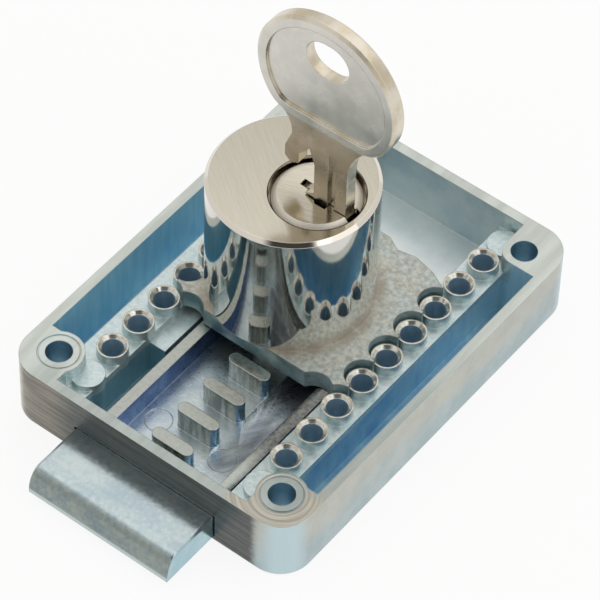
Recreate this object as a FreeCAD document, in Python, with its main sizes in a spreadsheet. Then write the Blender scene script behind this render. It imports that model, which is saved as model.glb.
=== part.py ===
import FreeCAD, Part
import math
import os
import Sketcher
from FreeCAD import Placement, Rotation, Vector

# Furniture rim lock with a key cylinder, lying on its flat back.
# X runs across the case, +Y is the end away from the bolt's tongue, +Z is the way the key comes out.
# The origin is the centre of the case's flat back face. The bolt is thrown and the key is in.

# Driving dimensions, in millimetres
numbers = {
    # case
    "caseWidth": 45.0,
    "caseLength": 60.0,
    "caseHeight": 10.0,
    "floorThickness": 1.0,
    "wallThickness": 1.4,
    "caseCorner": 4.5,
    "backEdge": 0.5,
    # corner posts and fixing holes
    "holeInsetX": 4.8,
    "holeInsetY": 5.0,
    "fixingHole": 3.5,
    "countersinkDepth": 1.5,
    "postReach": 2.7,
    "postRadius": 3.3,
    "postCorner": 2.4,
    "ringRadius": 2.6,
    "ringGroove": 0.2,
    "ringDepth": 0.2,
    "overcut": 1.0,
    # rails beside the bolt
    "railDrop": 3.0,
    "rightRailInset": 6.1,
    "rightRailWidth": 5.1,
    "leftRailInset": 4.8,
    "leftRailWidth": 5.7,
    "guideWidth": 2.5,
    "guideDrop": 1.0,
    "guideFront": -14.2,
    "guideRear": 17.0,
    # rows of locating bosses on the rails
    "rowInset": 8.63,
    "rowAnchor": -19.2,
    "rowFrontInset": 10.6,
    "rowRearInset": 8.3,
    "bossPitch": 5.083,
    "bossRadius": 2.05,
    "bossRise": 1.63,
    "bossHole": 1.4,
    "bossChamfer": 0.45,
    "blankRadius": 2.25,
    "blankRise": 0.8,
    "blankFrontInset": 5.9,
    "blankRearInset": 3.9,
    # bolt
    "boltThrow": 8.5,
    "tongueReach": 9.0,
    "tongueTop": 5.0,
    "tongueLeftInset": 11.5,
    "tongueRightInset": 11.4,
    "noseRadius": 1.4,
    "bodyLeftInset": 13.9,
    "bodyRightInset": 11.5,
    "bodyRear": 14.0,
    "bodyDrop": 0.2,
    "panDepth": 3.4,
    "panRim": 1.6,
    "panEndRim": 1.3,
    "lugLeft": -2.4,
    "lugRight": 3.8,
    "lugWidth": 1.8,
    "lugCount": 8,
    "lugsAhead": 5,
    "markRadius": 1.8,
    "markDepth": 0.1,
    "markY": -21.6,
    "markLeftInset": 4.1,
    "markRightInset": 5.3,
    "boltGap": 0.05,
    "shoulderGap": 0.2,
    "slotGap": 0.2,
    # carrier plate
    "plateThickness": 2.85,
    "plateShort": 0.17,
    "plateFront": -8.2,
    "plateRear": 16.2,
    "plateRearX": 2.9,
    "plateDipX": 4.9,
    "plateDipY": 15.1,
    "plateCrestX": 7.6,
    "plateCrestY": 15.6,
    "plateStepX": 10.7,
    "plateStepY": 14.9,
    "plateRearCorner": 13.4,
    "scallopGap": 0.3,
    "scallopCount": 6,
    "scallopsSkipped": 2,
    "notchRadius": 2.6,
    "notchInset": 3.57,
    "notchDrop": 1.4,
    "seatDepth": 0.5,
    "seatRadius": 8.8,
    # cylinder
    "cylinderRadius": 11.0,
    "cylinderX": -2.2,
    "plugX": 1.5,
    "plugY": 2.0,
    "cylinderStand": 19.9,
    "cylinderChamfer": 0.5,
    "plugRadius": 5.5,
    "headRadius": 5.8,
    "headGap": 0.3,
    "headDepth": 1.6,
    "faceDrop": 0.1,
    "faceChamfer": 0.75,
    "dishRadius": 4.7,
    "dishDepth": 0.2,
    "runningGap": 0.04,
    "plugLift": 1.35,
    "tailRadius": 3.0,
    "tailFlat": 2.2,
    "tailLength": 2.2,
    # drive cam
    "camRadius": 5.5,
    "camThickness": 1.2,
    "camLift": 0.3,
    "camGap": 0.4,
    "hubRadius": 5.0,
    "hubGap": 0.2,
    "pinRadius": 0.7,
    "pinFloorGap": 0.4,
    "fitGap": 0.03,
    # screws
    "screwRadius": 1.25,
    "screwHead": 2.3,
    "screwHeadDepth": 1.05,
    "camScrewLength": 4.9,
    "carrierScrewLength": 8.0,
    "carrierScrewInset": 6.07,
    "carrierScrewSpacing": 9.2,
    "slotDepth": 0.5,
    "slotWidth": 0.6,
    # pin tumblers
    "pinCount": 5,
    "pinInset": 3.3,
    "pinPitch": 3.2,
    "tumblerRadius": 1.25,
    "tumblerTip": 0.45,
    "tumblerTaper": 0.9,
    "driverLength": 3.2,
    "shearInset": 0.14,
    "shearGap": 0.05,
    "springWire": 0.3,
    "springTurns": 4,
    "springRuns": 6,
    "coverThickness": 1.2,
    "coverWidth": 3.6,
    "coverDrop": 1.5,
    "coverLength": 16.4,
    # key blade
    "keyThickness": 1.8,
    "keyGap": 0.08,
    "keySpine": 5.05,
    "keyEdge": 2.5,
    "keyReach": 17.3,
    "keyTipChamfer": 1.5,
    "keyTipRun": 1.0,
    "keyTipGap": 0.3,
    "wardLeft": 2.2,
    "wardRight": 3.3,
    "wardDepth": 0.45,
    "stepRise": 0.9,
    "stepFoot": 0.6,
    "keywayBelly": 0.5,
    "bellyLeft": 0.7,
    "mouthRise": 0.35,
    "wardRise": 9.0,
    "firstCut": 2.05,
    "cutStep": 0.45,
    "cutFlat": 0.8,
    # key shank, as distances from the plug's axis and from the end of the plug
    "neckLeft": 0.1,
    "neckFoot": 0.8,
    "neckTop": 5.8,
    "notchLeft": 0.75,
    "notchTop": 8.25,
    "hookRight": 2.4,
    "hookFoot": 4.5,
    "hookTop": 6.2,
    "stopInner": 3.5,
    "stopOuter": 4.45,
    "stopFoot": 3.9,
    "stopTop": 6.6,
    "shankLeft": 3.5,
    "shankMiddle": 9.2,
    "shankFlareLeft": 5.2,
    "shankRight": 5.2,
    "shankRise": 8.6,
    "shankFlareRight": 7.6,
    "flareRise": 12.9,
    "flareRadius": 4.0,
    # key bow
    "bowThickness": 2.2,
    "bowX": 2.85,
    "bowRise": 20.2,
    "bowRadius": 10.45,
    "bowFlat": 7.8,
    "bowCorner": 4.0,
    "bowEdge": 0.4,
    "bowRim": 1.55,
    "panelCorner": 2.45,
    "panelDepth": 0.35,
    "bowHoleX": 2.9,
    "bowHoleLength": 6.35,
    "bowHoleWidth": 5.5,
    "bowHoleRise": 4.45,
}

doc = FreeCAD.newDocument("furniture_lock")
sheet = doc.addObject("Spreadsheet::Sheet", "Sizes")
for row, (alias, number) in enumerate(numbers.items(), start=1):
    sheet.set(f"A{row}", alias)
    sheet.set(f"B{row}", str(number))
    sheet.setAlias(f"B{row}", alias)


class Size:
    """A length or count with the sheet expression that it comes from."""

    def __init__(self, number, text):
        self.number = number
        self.text = text

    def __add__(self, other):
        other = asSize(other)
        return Size(self.number + other.number, f"({self.text} + {other.text})")

    def __sub__(self, other):
        other = asSize(other)
        return Size(self.number - other.number, f"({self.text} - {other.text})")

    def __mul__(self, other):
        other = asSize(other)
        return Size(self.number * other.number, f"({self.text} * {other.text})")

    def __truediv__(self, other):
        other = asSize(other)
        return Size(self.number / other.number, f"({self.text} / {other.text})")

    def root(self):
        return Size(math.sqrt(self.number), f"sqrt({self.text})")

    def roundedUp(self):
        return Size(math.ceil(self.number), f"ceil({self.text})")

    def roundedDown(self):
        return Size(math.floor(self.number), f"floor({self.text})")

    def __neg__(self):
        return Size(-self.number, f"(0 - {self.text})")


def asSize(value):
    return value if isinstance(value, Size) else Size(value, repr(value))


class Sheet:
    """The driving dimensions, each one by its name."""

    def __init__(self, table):
        for name, number in table.items():
            setattr(self, name, Size(number, "Sizes." + name))


s = Sheet(numbers)
zero = asSize(0)
pieces = []


near = 0.01


def newBody(label):
    body = doc.addObject("PartDesign::Body", label)
    body.Label = label
    pieces.append(body)
    return body


def sketchOn(body, role, name, offset=zero):
    """A sketch on one of the body's own planes, moved by offset along that plane's normal."""
    sketch = body.newObject("Sketcher::SketchObject", name)
    plane = [item for item in body.Origin.OriginFeatures if item.Role == role][0]
    sketch.AttachmentSupport = [(plane, "")]
    sketch.MapMode = "FlatFace"
    sketch.AttachmentOffset = Placement(Vector(0, 0, offset.number), Rotation())
    sketch.setExpression("AttachmentOffset.Base.z", offset.text)
    return sketch


def holdPoint(sketch, index, end, x, y):
    """Ties one end of an edge to the sheet, by its distances from the sketch's origin."""
    for kind, size in (("DistanceX", x), ("DistanceY", y)):
        row = sketch.addConstraint(Sketcher.Constraint(kind, -1, 1, index, end, size.number))
        sketch.setExpression(f"Constraints[{row}]", size.text)


def outline(sketch, points):
    """A closed outline through points given as sizes; a third size bends the edge that follows.

    A bend is an arc's radius, positive where the arc swells to the right of the way along it.
    """
    points = [tuple(asSize(item) for item in point) for point in points]
    first = sketch.GeometryCount
    count = len(points)
    for index, point in enumerate(points):
        following = points[(index + 1) % count]
        start = Vector(point[0].number, point[1].number, 0)
        end = Vector(following[0].number, following[1].number, 0)
        if len(point) == 2:
            sketch.addGeometry(Part.LineSegment(start, end), False)
            continue
        bend = point[2].number
        chord = end - start
        swell = abs(bend) - math.sqrt(bend ** 2 - chord.Length ** 2 / 4)
        aside = Vector(chord.y, -chord.x, 0).normalize() * math.copysign(swell, bend)
        sketch.addGeometry(Part.Arc(start, (start + end) / 2 + aside, end), False)
    ends = []
    for index, point in enumerate(points):
        start = Vector(point[0].number, point[1].number, 0)
        starts = (sketch.getPoint(first + index, 1) - start).Length < near
        ends.append((1, 2) if starts else (2, 1))
    for index in range(count):
        following = (index + 1) % count
        sketch.addConstraint(Sketcher.Constraint(
            "Coincident", first + index, ends[index][1], first + following, ends[following][0],
        ))
    for index, point in enumerate(points):
        holdPoint(sketch, first + index, ends[index][0], point[0], point[1])
        if len(point) == 3:
            bend = point[2] if point[2].number > 0 else -point[2]
            row = sketch.addConstraint(Sketcher.Constraint("Radius", first + index, bend.number))
            sketch.setExpression(f"Constraints[{row}]", bend.text)


def box(sketch, left, right, low, high):
    outline(sketch, [(left, low), (right, low), (right, high), (left, high)])


def circle(sketch, x, y, radius):
    x, y, radius = asSize(x), asSize(y), asSize(radius)
    shape = Part.Circle(Vector(x.number, y.number, 0), Vector(0, 0, 1), radius.number)
    index = sketch.addGeometry(shape, False)
    holdPoint(sketch, index, 3, x, y)
    row = sketch.addConstraint(Sketcher.Constraint("Radius", index, radius.number))
    sketch.setExpression(f"Constraints[{row}]", radius.text)


def roundSlot(sketch, left, right, y, width):
    """An oblong along the sketch's X with half-round ends."""
    radius = width / 2
    first = sketch.GeometryCount
    up = Vector(0, 0, 1)
    middle = y.number
    for centre, start in ((left + radius, math.pi / 2), (right - radius, -math.pi / 2)):
        round_ = Part.Circle(Vector(centre.number, middle, 0), up, radius.number)
        sketch.addGeometry(Part.ArcOfCircle(round_, start, start + math.pi), False)
        holdPoint(sketch, sketch.GeometryCount - 1, 3, centre, y)
    low = middle - radius.number
    high = middle + radius.number
    leftX = (left + radius).number
    rightX = (right - radius).number
    sketch.addGeometry(Part.LineSegment(Vector(leftX, low, 0), Vector(rightX, low, 0)), False)
    sketch.addGeometry(Part.LineSegment(Vector(rightX, high, 0), Vector(leftX, high, 0)), False)
    leftArc, rightArc, lower, upper = range(first, first + 4)
    for one, oneEnd, two, twoEnd in (
        (leftArc, 2, lower, 1),
        (lower, 2, rightArc, 1),
        (rightArc, 2, upper, 1),
        (upper, 2, leftArc, 1),
    ):
        sketch.addConstraint(Sketcher.Constraint("Tangent", one, oneEnd, two, twoEnd))
    row = sketch.addConstraint(Sketcher.Constraint("Radius", leftArc, radius.number))
    sketch.setExpression(f"Constraints[{row}]", radius.text)


def pad(body, sketch, length, symmetric=False, reverse=False):
    feature = body.newObject("PartDesign::Pad", sketch.Name + "_pad")
    feature.Profile = sketch
    feature.Length = length.number
    feature.setExpression("Length", length.text)
    feature.SideType = "Symmetric" if symmetric else "One side"
    feature.Reversed = reverse
    doc.recompute()
    return feature


def cut(body, sketch, length, symmetric=False, reverse=False):
    """A pocket of the given depth, checked to have removed material."""
    before = body.Shape.Volume
    feature = body.newObject("PartDesign::Pocket", sketch.Name + "_cut")
    feature.Profile = sketch
    feature.Length = length.number
    feature.setExpression("Length", length.text)
    feature.SideType = "Symmetric" if symmetric else "One side"
    feature.Reversed = reverse
    doc.recompute()
    if body.Shape.Volume >= before:
        raise ValueError(f"{feature.Name} removed nothing")
    return feature


def repeat(body, features, sketch, axis, pitch, count):
    """Copies of features along a sketch axis, a pitch apart."""
    span = pitch * (count - 1)
    feature = body.newObject("PartDesign::LinearPattern", features[-1].Name + "_row")
    feature.Originals = features
    feature.Direction = (sketch, [axis])
    feature.Length = span.number
    feature.setExpression("Length", span.text)
    feature.Occurrences = int(count.number)
    feature.setExpression("Occurrences", count.text)
    body.Tip = feature
    doc.recompute()
    return feature


def edgesWhere(shape, test):
    return [f"Edge{index}" for index, edge in enumerate(shape.Edges, start=1) if test(edge)]


def dress(body, kind, base, test, size):
    """A fillet or a chamfer on every edge of the last feature that passes the test."""
    names = edgesWhere(base.Shape, test)
    if not names:
        raise ValueError(f"no edges for the {kind} on {body.Label}")
    feature = body.newObject("PartDesign::" + kind, base.Name + "_" + kind.lower())
    feature.Base = (base, names)
    key = "Radius" if kind == "Fillet" else "Size"
    setattr(feature, key, size.number)
    feature.setExpression(key, size.text)
    body.Tip = feature
    doc.recompute()
    return feature


def isUpright(edge):
    """A straight edge along Z."""
    if len(edge.Vertexes) != 2 or not isinstance(edge.Curve, Part.Line):
        return False
    lower, upper = (vertex.Point for vertex in edge.Vertexes)
    return math.hypot(lower.x - upper.x, lower.y - upper.y) < near


def isRound(edge, radius, z):
    """A circle or an arc of that radius, level at z."""
    if not isinstance(edge.Curve, Part.Circle):
        return False
    return isLevel(edge, z) and abs(edge.Curve.Radius - radius.number) < near


def isLevel(edge, z):
    return abs(edge.BoundBox.ZMin - z.number) < near and abs(edge.BoundBox.ZMax - z.number) < near


# Places that several pieces share, from the back of the case upward
front = -s.caseLength / 2
rear = s.caseLength / 2
side = s.caseWidth / 2
innerFront = front + s.wallThickness
innerRear = rear - s.wallThickness
innerSide = side - s.wallThickness
postX = side - s.holeInsetX
postY = rear - s.holeInsetY
rightRailOuter = side - s.rightRailInset
rightRailInner = rightRailOuter - s.rightRailWidth
leftRailOuter = side - s.leftRailInset
leftRailInner = leftRailOuter - s.leftRailWidth
bossRow = side - s.rowInset
bossesAhead = ((front + s.rowFrontInset - s.rowAnchor) / s.bossPitch).roundedUp()
bossesBehind = ((rear - s.rowRearInset - s.rowAnchor) / s.bossPitch).roundedDown()
bossFirst = s.rowAnchor + s.bossPitch * bossesAhead
bossCount = bossesBehind - bossesAhead + 1
tongueLeft = side - s.tongueLeftInset
tongueRight = side - s.tongueRightInset
bodyLeft = side - s.bodyLeftInset
bodyRight = side - s.bodyRightInset
plateHalf = bossRow - s.plateShort
notchCentre = bossRow - s.notchInset
railTop = s.caseHeight - s.railDrop
guideTop = railTop - s.guideDrop
blankTop = railTop + s.blankRise
bossTop = railTop + s.bossRise
blankFront = front + s.blankFrontInset
blankRear = rear - s.blankRearInset
bodyTop = railTop - s.bodyDrop
panFloor = bodyTop - s.panDepth
plateFoot = railTop
plateTop = railTop + s.plateThickness
cylinderFoot = plateTop - s.seatDepth
cylinderTop = s.caseHeight + s.cylinderStand
camFoot = bodyTop + s.camLift
camTop = camFoot + s.camThickness
recessTop = camTop + s.hubGap
camScrewTop = camFoot + s.camScrewLength
carrierScrewTop = plateFoot + s.carrierScrewLength
carrierScrewX = s.carrierScrewInset - bossRow
crank = s.boltThrow / 2
pinY = s.plugY - crank
lugFirst = pinY - s.bossPitch * (s.lugsAhead - 0.5)
plugFoot = plateTop + s.plugLift
plugFace = cylinderTop - s.faceDrop
headFoot = cylinderTop - s.headDepth
pinFirst = cylinderTop - s.pinInset
spineX = s.plugX + s.keySpine
edgeX = s.plugX - s.keyEdge
keyTip = cylinderTop - s.keyReach
keywayFoot = keyTip - s.keyTipGap
wardTop = cylinderTop + s.wardRise
bowZ = cylinderTop + s.bowRise
coverInner = s.cylinderX - s.cylinderRadius + s.coverThickness
coverTop = cylinderTop - s.coverDrop
coverFoot = coverTop - s.coverLength


def makeCase():
    """The die-cast tray: floor, walls, corner posts, two rails and their rows of bosses."""
    body = newBody("case")

    sketch = sketchOn(body, "XY_Plane", "case_block")
    box(sketch, -side, side, front, rear)
    pad(body, sketch, s.caseHeight)

    sketch = sketchOn(body, "XY_Plane", "case_hollow", s.caseHeight)
    box(sketch, -innerSide, innerSide, innerFront, innerRear)
    cut(body, sketch, s.caseHeight - s.floorThickness)

    # posts: a block in each corner, round where it faces the middle of the case
    sketch = sketchOn(body, "XY_Plane", "case_posts", s.floorThickness)
    for across in (-1, 1):
        for along in (-1, 1):
            cornerPost(sketch, across, along)
    pad(body, sketch, s.caseHeight - s.floorThickness)

    # rails and the guide block beside the bolt
    sketch = sketchOn(body, "XY_Plane", "case_rails", s.floorThickness)
    wallMiddle = s.wallThickness / 2
    box(sketch, rightRailInner, rightRailOuter, innerFront - wallMiddle, innerRear + wallMiddle)
    box(sketch, -leftRailOuter, -leftRailInner, innerFront - wallMiddle, innerRear + wallMiddle)
    pad(body, sketch, railTop - s.floorThickness)

    sketch = sketchOn(body, "XY_Plane", "case_guide", s.floorThickness)
    box(sketch, -leftRailInner - wallMiddle, -leftRailInner + s.guideWidth, s.guideFront, s.guideRear)
    pad(body, sketch, guideTop - s.floorThickness)

    # low blank discs at both ends of each row
    sketch = sketchOn(body, "XY_Plane", "case_blanks", s.floorThickness)
    for across in (-1, 1):
        circle(sketch, bossRow * across, blankFront, s.blankRadius)
        circle(sketch, bossRow * across, blankRear, s.blankRadius)
    pad(body, sketch, blankTop - s.floorThickness)

    # one boss on each rail, then the rows
    sketch = sketchOn(body, "XY_Plane", "case_boss", s.floorThickness)
    for across in (-1, 1):
        circle(sketch, bossRow * across, bossFirst, s.bossRadius)
    boss = pad(body, sketch, bossTop - s.floorThickness)
    repeat(body, [boss], sketch, "V_Axis", s.bossPitch, bossCount)

    sketch = sketchOn(body, "XY_Plane", "case_boss_hole", bossTop)
    for across in (-1, 1):
        circle(sketch, bossRow * across, bossFirst, s.bossHole)
    hole = cut(body, sketch, bossTop - s.floorThickness)
    holes = repeat(body, [hole], sketch, "V_Axis", s.bossPitch, bossCount)
    dress(body, "Chamfer", holes, lambda edge: isRound(edge, s.bossHole, bossTop), s.bossChamfer)

    # fixing holes through the posts, countersunk in the back
    sketch = sketchOn(body, "XY_Plane", "case_fixing", s.caseHeight)
    for across in (-1, 1):
        for along in (-1, 1):
            circle(sketch, postX * across, postY * along, s.fixingHole / 2)
    fixing = cut(body, sketch, s.caseHeight)
    dress(body, "Chamfer", fixing, lambda edge: isRound(edge, s.fixingHole / 2, zero), s.countersinkDepth)

    # a thin groove round each front fixing hole
    sketch = sketchOn(body, "XY_Plane", "case_rings", s.caseHeight)
    for across in (-1, 1):
        circle(sketch, postX * across, -postY, s.ringRadius)
        circle(sketch, postX * across, -postY, s.ringRadius + s.ringGroove)
    cut(body, sketch, s.ringDepth)

    # slot in the front wall for the tongue
    sketch = sketchOn(body, "XY_Plane", "case_slot", s.tongueTop + s.slotGap)
    box(sketch, -tongueLeft - s.slotGap, tongueRight + s.slotGap, front - s.overcut, innerFront)
    slot = cut(body, sketch, s.tongueTop + s.slotGap - s.floorThickness)

    def isOuterCorner(edge):
        if not isUpright(edge):
            return False
        point = edge.Vertexes[0].Point
        return abs(abs(point.x) - side.number) < near and abs(abs(point.y) - rear.number) < near

    def isBackEdge(edge):
        return isLevel(edge, zero) and (
            not isinstance(edge.Curve, Part.Circle) or abs(edge.Curve.Radius - s.caseCorner.number) < near
        )

    corners = dress(body, "Fillet", slot, isOuterCorner, s.caseCorner)
    dress(body, "Chamfer", corners, isBackEdge, s.backEdge)
    return body


def cornerPost(sketch, across, along):
    """A block against two walls of the case; at the front it swells into a boss round its hole."""
    if along < 0:
        bend = s.postRadius
        meet = (s.postRadius * s.postRadius - s.postReach * s.postReach).root()
    else:
        bend = s.postCorner
        meet = s.postCorner - s.postReach
    innerX = (postX - s.postReach) * across
    innerY = (postY - s.postReach) * along
    outerX = innerSide * across
    outerY = innerRear * along
    outline(sketch, [
        (innerX, (postY + meet) * along, bend * (across * along)),
        ((postX + meet) * across, innerY),
        (outerX, innerY),
        (outerX, outerY),
        (innerX, outerY),
    ])


def makeBolt():
    """The slider: tongue, body with a shallow pan, and the row of lugs that the cam drives."""
    body = newBody("bolt")
    foot = s.floorThickness + s.boltGap
    bodyFront = innerFront + s.shoulderGap
    nose = front - s.tongueReach

    sketch = sketchOn(body, "XY_Plane", "bolt_tongue", foot)
    box(sketch, -tongueLeft, tongueRight, nose, bodyFront)
    tongue = pad(body, sketch, s.tongueTop - foot)

    def isNose(edge):
        box_ = edge.BoundBox
        return box_.YMax < nose.number + near and box_.ZMin > s.tongueTop.number - near

    dress(body, "Fillet", tongue, isNose, s.noseRadius)

    sketch = sketchOn(body, "XY_Plane", "bolt_body", foot)
    box(sketch, -bodyLeft, bodyRight, bodyFront, s.bodyRear)
    pad(body, sketch, bodyTop - foot)

    sketch = sketchOn(body, "XY_Plane", "bolt_pan", bodyTop)
    left = s.panRim - bodyLeft
    right = bodyRight - s.panRim
    box(sketch, left, right, bodyFront + s.panEndRim, s.bodyRear - s.panEndRim)
    cut(body, sketch, bodyTop - panFloor)

    sketch = sketchOn(body, "XY_Plane", "bolt_marks", panFloor)
    circle(sketch, s.markLeftInset - bodyLeft, s.markY, s.markRadius)
    circle(sketch, bodyRight - s.markRightInset, s.markY, s.markRadius)
    cut(body, sketch, s.markDepth)

    sketch = sketchOn(body, "XY_Plane", "bolt_lug", panFloor - s.markDepth)
    roundSlot(sketch, s.lugLeft, s.lugRight, lugFirst, s.lugWidth)
    lug = pad(body, sketch, bodyTop - panFloor + s.markDepth)
    repeat(body, [lug], sketch, "V_Axis", s.bossPitch, s.lugCount)
    return body


def makeCarrierPlate():
    """The cast plate on the rails, scalloped round the bosses that set its place along the case."""
    body = newBody("carrier_plate")
    sketch = sketchOn(body, "XY_Plane", "plate_outline", plateFoot)
    outline(sketch, [
        (-plateHalf, s.plateFront),
        (plateHalf, s.plateFront),
        (plateHalf, s.plateRearCorner),
        (s.plateStepX, s.plateStepY),
        (s.plateCrestX, s.plateCrestY),
        (s.plateDipX, s.plateDipY),
        (s.plateRearX, s.plateRear),
        (-plateHalf, s.plateRear),
    ])
    pad(body, sketch, s.plateThickness)

    sketch = sketchOn(body, "XY_Plane", "plate_scallop", plateTop)
    firstY = s.rowAnchor + s.bossPitch * s.scallopsSkipped
    for across in (-1, 1):
        circle(sketch, bossRow * across, firstY, s.bossRadius + s.scallopGap)
    scallop = cut(body, sketch, s.plateThickness)
    repeat(body, [scallop], sketch, "V_Axis", s.bossPitch, s.scallopCount)

    sketch = sketchOn(body, "XY_Plane", "plate_notch", plateTop)
    for across in (-1, 1):
        circle(sketch, notchCentre * across, s.plateFront - s.notchDrop, s.notchRadius)
    cut(body, sketch, s.plateThickness)

    sketch = sketchOn(body, "XY_Plane", "plate_seat", plateTop)
    circle(sketch, s.cylinderX, s.plugY, s.seatRadius + s.fitGap)
    cut(body, sketch, s.seatDepth)

    sketch = sketchOn(body, "XY_Plane", "plate_recess", plateFoot)
    circle(sketch, s.plugX, s.plugY, s.camRadius + s.camGap)
    cut(body, sketch, recessTop - plateFoot, reverse=True)

    sketch = sketchOn(body, "XY_Plane", "plate_hub_hole", plateTop)
    circle(sketch, s.plugX, s.plugY, s.hubRadius + s.hubGap)
    cut(body, sketch, s.plateThickness)

    sketch = sketchOn(body, "XY_Plane", "plate_screw_holes", plateTop)
    for across in (-1, 1):
        screwY = s.plugY + s.carrierScrewSpacing / 2 * across
        circle(sketch, carrierScrewX, screwY, s.screwRadius + s.fitGap)
    holes = cut(body, sketch, s.plateThickness)
    dress(
        body, "Chamfer", holes,
        lambda edge: isRound(edge, s.screwRadius + s.fitGap, plateFoot), s.screwHeadDepth,
    )
    return body


def makeHousing():
    """The polished cylinder: eccentric bore for the plug and a row of pin chambers in its thick side."""
    body = newBody("cylinder_housing")
    sketch = sketchOn(body, "XY_Plane", "housing_spigot", cylinderFoot)
    circle(sketch, s.cylinderX, s.plugY, s.seatRadius)
    pad(body, sketch, s.seatDepth)

    sketch = sketchOn(body, "XY_Plane", "housing_round", plateTop)
    circle(sketch, s.cylinderX, s.plugY, s.cylinderRadius)
    block = pad(body, sketch, cylinderTop - plateTop)
    dress(
        body, "Chamfer", block,
        lambda edge: isRound(edge, s.cylinderRadius, cylinderTop), s.cylinderChamfer,
    )

    sketch = sketchOn(body, "XY_Plane", "housing_bore", cylinderTop)
    circle(sketch, s.plugX, s.plugY, s.plugRadius + s.runningGap)
    cut(body, sketch, cylinderTop - cylinderFoot)

    sketch = sketchOn(body, "XY_Plane", "housing_counterbore", cylinderTop)
    circle(sketch, s.plugX, s.plugY, s.headRadius + s.headGap)
    cut(body, sketch, s.headDepth)

    # chambers run from the cover to the bore
    sketch = sketchOn(body, "YZ_Plane", "housing_chamber", s.cylinderX - s.cylinderRadius)
    circle(sketch, s.plugY, pinFirst, s.tumblerRadius + s.runningGap)
    chamber = cut(body, sketch, s.plugX - s.cylinderX + s.cylinderRadius, reverse=True)
    back = repeat(body, [chamber], sketch, "V_Axis", s.pinPitch, s.pinCount)
    back.Reversed = True
    doc.recompute()

    sketch = sketchOn(body, "YZ_Plane", "housing_groove", s.cylinderX - s.cylinderRadius)
    halfCover = s.coverWidth / 2 + s.fitGap
    box(sketch, s.plugY - halfCover, s.plugY + halfCover, coverFoot - s.fitGap, coverTop + s.fitGap)
    cut(body, sketch, s.coverThickness, reverse=True)

    sketch = sketchOn(body, "XY_Plane", "housing_screw_holes", cylinderFoot)
    for across in (-1, 1):
        screwY = s.plugY + s.carrierScrewSpacing / 2 * across
        circle(sketch, carrierScrewX, screwY, s.screwRadius + s.fitGap)
    cut(body, sketch, carrierScrewTop - cylinderFoot + s.fitGap, reverse=True)
    return body


def makePlug():
    """The plug: head, body, keyway with its two wards, pin holes and a tail with two flats."""
    body = newBody("cylinder_plug")
    sketch = sketchOn(body, "XY_Plane", "plug_body", plugFoot)
    circle(sketch, s.plugX, s.plugY, s.plugRadius)
    pad(body, sketch, plugFace - plugFoot)

    sketch = sketchOn(body, "XY_Plane", "plug_head", headFoot + s.runningGap)
    circle(sketch, s.plugX, s.plugY, s.headRadius)
    head = pad(body, sketch, plugFace - headFoot - s.runningGap)
    dress(body, "Chamfer", head, lambda edge: isRound(edge, s.headRadius, plugFace), s.faceChamfer)

    dish = body.newObject("PartDesign::SubtractiveCone", "plug_dish")
    dish.setExpression("Radius2", s.dishRadius.text)
    dish.Radius1 = 0
    dish.setExpression("Height", s.dishDepth.text)
    place(dish, s.plugX, s.plugY, plugFace - s.dishDepth)
    doc.recompute()

    sketch = sketchOn(body, "XY_Plane", "plug_tail", plugFoot)
    circle(sketch, s.plugX, s.plugY, s.tailRadius)
    pad(body, sketch, s.tailLength, reverse=True)
    sketch = sketchOn(body, "XY_Plane", "plug_flats", plugFoot)
    outer = s.tailRadius + s.overcut
    box(sketch, s.plugX - outer, s.plugX - s.tailFlat, s.plugY - outer, s.plugY + outer)
    box(sketch, s.plugX + s.tailFlat, s.plugX + outer, s.plugY - outer, s.plugY + outer)
    cut(body, sketch, s.tailLength)

    # keyway: thin on the pin side, stepped across the axis, with a ward each side, open at the rim
    half = s.keyThickness / 2 + s.keyGap
    ward = half - s.wardDepth
    left = s.plugX + s.wardLeft + s.keyGap
    right = s.plugX + s.wardRight - s.keyGap
    start = edgeX - s.keyGap * 2
    end = spineX + s.keyGap
    mouth = s.plugX + s.headRadius + s.overcut
    belly = half + s.keywayBelly
    stepY = s.plugY - half + s.stepRise
    slope = belly - half + s.stepRise
    sketch = sketchOn(body, "XY_Plane", "plug_keyway", plugFace)
    outline(sketch, [
        (start, stepY),
        (s.plugX + s.bellyLeft - slope, stepY),
        (s.plugX + s.bellyLeft, s.plugY - belly),
        (left, s.plugY - belly),
        (left, s.plugY - ward),
        (right, s.plugY - ward),
        (right, s.plugY - half),
        (mouth, s.plugY - half),
        (mouth, s.plugY + half + s.mouthRise),
        (end, s.plugY + half + s.mouthRise),
        (end, s.plugY + half),
        (right, s.plugY + half),
        (right, s.plugY + ward),
        (left, s.plugY + ward),
        (left, s.plugY + half),
        (start, s.plugY + half),
    ])
    cut(body, sketch, plugFace - keywayFoot)

    sketch = sketchOn(body, "YZ_Plane", "plug_pin_hole", s.plugX - s.plugRadius)
    circle(sketch, s.plugY, pinFirst, s.tumblerRadius + s.runningGap)
    hole = cut(body, sketch, s.plugRadius, reverse=True)
    row = repeat(body, [hole], sketch, "V_Axis", s.pinPitch, s.pinCount)
    row.Reversed = True
    doc.recompute()

    sketch = sketchOn(body, "XY_Plane", "plug_screw_hole", plugFoot - s.tailLength)
    circle(sketch, s.plugX, s.plugY, s.screwRadius + s.fitGap)
    cut(body, sketch, camScrewTop - plugFoot + s.tailLength + s.fitGap, reverse=True)
    return body


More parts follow.
